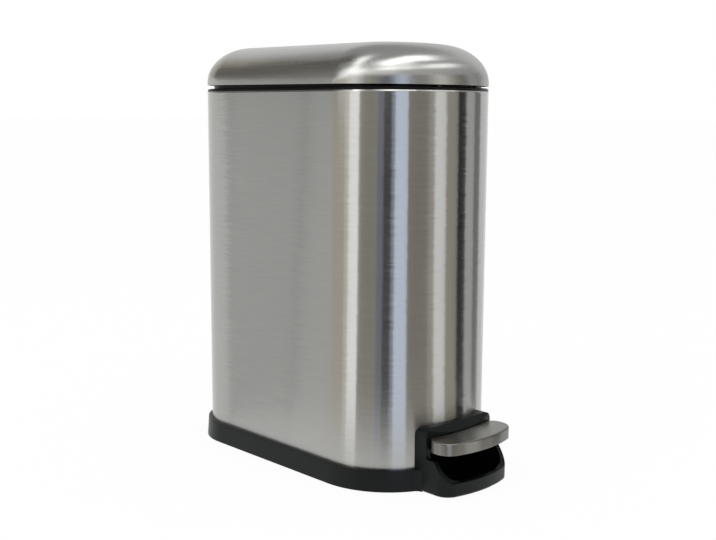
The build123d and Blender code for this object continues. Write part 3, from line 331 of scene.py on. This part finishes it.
# Azimuth at which each flat starts, height of its top, brightness and tint. The steel's bands of
# light and dark are these flats, mirrored in the wall.
LOW_FLATS = [
    (90, PANEL_TOP, 0.95, WHITE), (125.5, PANEL_TOP, 0.5, WHITE), (126.4, PANEL_TOP, 0.71, WHITE),
    (140.6, PANEL_TOP, 0.45, WHITE), (141.4, PANEL_TOP, 0.76, WHITE), (150, PANEL_TOP, 0.74, WARM),
    (170, BAND_TOP, 1.0, WARM), (176, BAND_TOP, 1.6, WHITE), (190, BAND_TOP, 0.42, WARM),
    (213, BAND_TOP, 0.32, COOL), (220, BAND_TOP, 0.05, WHITE), (229, BAND_TOP, 0.5, COOL),
    (233, BAND_TOP, 1.4, COOL), (248, BAND_TOP, 0.36, WARM), (269, BAND_TOP, 0.55, WARM),
    (275, BAND_TOP, 1.25, WHITE), (287, BAND_TOP, 0.53, WARM), (301, BAND_TOP, 0.03, WHITE),
    (312, BAND_TOP, 0.68, WHITE), (326, BAND_TOP, 0.28, WHITE), (338, PANEL_TOP, 0.88, WHITE),
]
# The same for the taller flats far behind them, which show in the lid
HIGH_FLATS = [
    (85, HIGH_TOP, 0.75, WARM), (106, HIGH_TOP, 0.2, WARM), (128, HIGH_TOP, 0.35, WHITE),
    (144, HIGH_TOP, 1.5, WHITE), (180, HIGH_TOP, 1.1, WHITE), (240, HIGH_TOP, 0.7, WHITE),
    (310, HIGH_TOP, 0.55, WHITE), (358, HIGH_TOP, 0.85, WHITE), (400, HIGH_TOP, 0.95, WHITE),
]
# Middle in X and Y, width, depth, turn, height, brightness and tint of the flats overhead
HANGING_FLATS = {
    "ceiling": (0.0, 0.0, 6.4, 6.4, 0, HIGH_TOP, 0.5, WHITE),
    "long_softbox": (0.05, -0.62, 2.0, 0.55, 6, HANG_Z, 3.2, WHITE),
    "front_left_softbox": (-1.6, -1.4, 1.2, 0.8, -45, HANG_Z, 2.2, WHITE),
    "front_right_softbox": (1.3, -1.5, 1.7, 0.7, 20, HANG_Z, 2.4, WHITE),
    "front_flat": (-0.2, -2.0, 1.6, 0.6, 0, HANG_Z, 1.1, WHITE),
    "side_strip": (-1.45, 0.5, 2.1, 0.36, 0, HANG_Z, 3.0, WHITE),
    "dark_flat": (-0.72, 1.75, 0.8, 1.7, 8, HANG_Z, 0.12, WARM),
}


def standing_corners(foot_radius, top_radius, start, end, low, high):
    """The corners of a panel between two azimuths, measured from +X round the ring's own middle."""
    turns = [(cos(radians(a)), sin(radians(a))) for a in (start, end)]
    foot = [(foot_radius * c, RING_Y + foot_radius * s, low) for c, s in turns]
    top = [(top_radius * c, RING_Y + top_radius * s, high) for c, s in turns]
    return [*foot, *reversed(top)]


def level_corners(x, y, width, depth, turn, height):
    """The corners of a level rectangle, turned about its own middle."""
    c, s = cos(radians(turn)), sin(radians(turn))
    half_w, half_d = width / 2, depth / 2
    reach = [(-half_w, -half_d), (half_w, -half_d), (half_w, half_d), (-half_w, half_d)]
    return [(x + u * c - v * s, y + u * s + v * c, height) for u, v in reach]


def flat(name, corners, strength, tint):
    """A studio flat that shows only in glossy surfaces and lights nothing."""
    glow, tree = new_material(name)
    light = add(tree, "ShaderNodeEmission", {"Color": linear(tint), "Strength": strength})
    add(tree, "ShaderNodeOutputMaterial", {"Surface": light.outputs["Emission"]})
    made = new_object(name, corners, [(0, 1, 2, 3)], glow)
    made.visible_camera = False
    made.visible_diffuse = False
    made.visible_shadow = False
    made.visible_transmission = False


def ring_of_flats(name, foot_radius, top_radius, low, flats):
    """Flats side by side all the way round the can: each ends where the next one starts."""
    starts = [row[0] for row in flats]
    ends = [*starts[1:], starts[0] + 360]
    for number, ((start, high, strength, tint), end) in enumerate(zip(flats, ends)):
        corners = standing_corners(foot_radius, top_radius, start, end, low, high)
        flat(f"{name}_{number:02d}", corners, strength, tint)


ring_of_flats("low_flat", LOW_FOOT, LOW_RING, 0.0, LOW_FLATS)
ring_of_flats("high_flat", HIGH_RING, HIGH_RING, PANEL_TOP, HIGH_FLATS)
for name, (x, y, width, depth, turn, height, strength, tint) in HANGING_FLATS.items():
    flat(name, level_corners(x, y, width, depth, turn, height), strength, tint)


# Floor, world and lamps

FLOOR_SIDE = 80.0
# How white the floor is by itself, which leaves the rest of it to carry the can's shadow
FLOOR_WHITE = 0.94
# Brightness of the surroundings for the light that falls on the can
FILL = 0.8
# What the lamps point at: the middle of the can's height
AIM = (0, 0, 0.2)


def shows_white(tree):
    """1 for a ray from the camera, off gloss or through glass, and 0 for a ray that lights a surface."""
    path = add(tree, "ShaderNodeLightPath")
    direct = add(tree, "ShaderNodeMath", {
        0: path.outputs["Is Camera Ray"], 1: path.outputs["Is Glossy Ray"],
    }, operation="MAXIMUM")
    shows = add(tree, "ShaderNodeMath", {
        0: direct.outputs["Value"], 1: path.outputs["Is Transmission Ray"],
    }, operation="MAXIMUM")
    return shows.outputs["Value"]


def make_floor():
    """A white paper sweep, which stays white to the camera and in reflections, with a soft shadow."""
    paper, tree = new_material("white_paper_sweep")
    share = add(tree, "ShaderNodeMath", {0: shows_white(tree), 1: FLOOR_WHITE}, operation="MULTIPLY")
    matt = add(tree, "ShaderNodeBsdfDiffuse", {"Color": linear(WHITE)})
    white = add(tree, "ShaderNodeEmission", {"Color": linear(WHITE), "Strength": 1.0})
    both = add(tree, "ShaderNodeMixShader", {
        0: share.outputs["Value"], 1: matt.outputs["BSDF"], 2: white.outputs["Emission"],
    })
    add(tree, "ShaderNodeOutputMaterial", {"Surface": both.outputs["Shader"]})
    corners = level_corners(0, 0, FLOOR_SIDE, FLOOR_SIDE, 0, 0)
    made = new_object("floor", corners, [(0, 1, 2, 3)], paper)


def make_world():
    """White behind the can and in its steel, and a softer white for the light that falls on it."""
    world = bpy.data.worlds.new("studio")
    bpy.context.scene.world = world
    world.use_nodes = True
    tree = world.node_tree
    tree.nodes.clear()
    level = add(tree, "ShaderNodeMapRange", {"Value": shows_white(tree), "To Min": FILL, "To Max": 1.0})
    sky = add(tree, "ShaderNodeBackground", {
        "Color": linear(WHITE), "Strength": level.outputs["Result"],
    })
    add(tree, "ShaderNodeOutputWorld", {"Surface": sky.outputs["Background"]})


def soft_light(name, place, size, power):
    """A square softbox aimed at the can, with its size in metres and its power in watts."""
    lamp = bpy.data.lights.new(name, "AREA")
    lamp.shape = "SQUARE"
    lamp.size = size
    lamp.energy = power
    made = bpy.data.objects.new(name, lamp)
    made.location = place
    made.rotation_euler = (Vector(AIM) - Vector(place)).to_track_quat("-Z", "Y").to_euler()
    bpy.context.scene.collection.objects.link(made)


make_floor()
make_world()
soft_light("overhead_softbox", (-0.5, -0.8, 2.2), size=1.6, power=10)
soft_light("side_softbox", (-1.9, 0.3, 1.4), size=1.0, power=4)


# Camera

# The view that was fitted to the can's outline: the eye in metres, its turns in degrees, and the
# width of the film and the focal length in mm
EYE = (-0.69773, -0.72911, 0.33146)
YAW, PITCH, ROLL = -43.80, -8.567, 0.320
FILM_WIDTH, FOCAL_LENGTH = 36, 52.83


def make_camera():
    """A camera at the fitted view, which looks level along +Y before its turns."""
    lens = bpy.data.cameras.new("camera")
    lens.sensor_width = FILM_WIDTH
    lens.lens = FOCAL_LENGTH
    made = bpy.data.objects.new("camera", lens)
    yaw, pitch, roll = [
        Matrix.Rotation(radians(angle), 4, axis)
        for angle, axis in ((YAW, "Z"), (90 + PITCH, "X"), (ROLL, "Z"))
    ]
    made.matrix_world = Matrix.Translation(EYE) @ yaw @ pitch @ roll
    bpy.context.scene.collection.objects.link(made)
    bpy.context.scene.camera = made


make_camera()
bpy.context.scene.view_settings.view_transform = "Standard"
